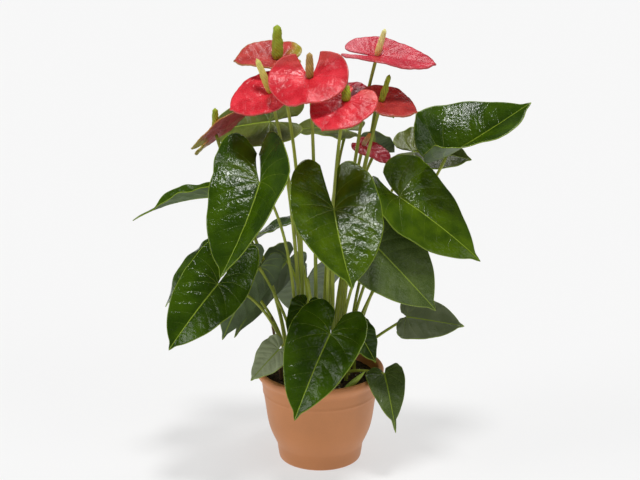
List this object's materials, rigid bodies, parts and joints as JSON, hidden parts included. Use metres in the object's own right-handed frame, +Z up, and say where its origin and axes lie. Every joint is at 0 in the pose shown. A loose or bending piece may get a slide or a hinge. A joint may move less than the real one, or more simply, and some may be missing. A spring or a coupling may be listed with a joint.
{
  "type": "potted plant",
  "caption": "Potted anthurium with glossy heart-shaped leaves and waxy red flowers on thin stalks, in a round terracotta-coloured plastic pot.",
  "frame": {"origin": "centre of the underside of the pot, on the surface it stands on", "axes": "+Z up, +X to the plant's right-hand side as seen from the front, -Y to the front"},
  "size_m": [0.5134, 0.3267, 0.5863],
  "materials": {
    "pot": "satin",
    "soil": "crumbly, matte",
    "leaf": "glossy, with paler veins",
    "young_leaf": "satin",
    "dry_stalk": "dry, matte",
    "stem": "satin",
    "spathe": "waxy, glossy",
    "spathe_dull": "waxy, satin",
    "spathe_crimson": "waxy, glossy",
    "spadix": "finely pebbled",
    "spadix_green": "finely pebbled",
    "spadix_pale": "finely pebbled"
  },
  "bodies": {
    "root": {"pot": "pot", "soil": "soil", "leaf_front_left": "leaf", "leaf_left_low": "leaf", "leaf_left_side": "leaf", "leaf_left_hidden": "leaf", "leaf_left_grey": "leaf", "leaf_left_inner": "leaf", "leaf_rim_left": "leaf", "leaf_front_low": "leaf", "leaf_rim_right": "leaf", "leaf_low_right_inner": "leaf", "leaf_front_centre": "leaf", "leaf_right_centre": "leaf", "leaf_right": "leaf", "leaf_top_right": "leaf", "leaf_right_behind": "leaf", "leaf_right_low": "leaf", "leaf_right_small": "leaf", "leaf_back_left_top": "leaf", "leaf_back_centre_top": "leaf", "leaf_back_right_top": "leaf", "leaf_back_small": "leaf", "leaf_low_centre": "leaf", "leaf_back_left": "leaf", "leaf_back_right": "leaf", "leaf_back_low": "leaf", "young_shoot": "young_leaf", "dry_stalk": "dry_stalk", "spathe_top_left": "spathe_dull", "spadix_top_left": "spadix_green", "flower_stem_top_left": "stem", "spathe_left": "spathe", "spadix_left": "spadix", "flower_stem_left": "stem", "spathe_centre_top": "spathe", "spadix_centre_top": "spadix", "flower_stem_centre_top": "stem", "spathe_top_right": "spathe", "spadix_top_right": "spadix_pale", "flower_stem_top_right": "stem", "spathe_centre_front": "spathe", "spadix_centre_front": "spadix_green", "flower_stem_centre_front": "stem", "spathe_right": "spathe_dull", "spadix_right": "spadix_green", "flower_stem_right": "stem", "spathe_back": "spathe_crimson", "spadix_back": "spadix_pale", "flower_stem_back": "stem", "spathe_small_right": "spathe_crimson", "spadix_small_right": "spadix_pale", "flower_stem_small_right": "stem", "spathe_left_low": "spathe_dull", "spadix_left_low": "spadix_green", "flower_stem_left_low": "stem"}
  },
  "joints": []
}
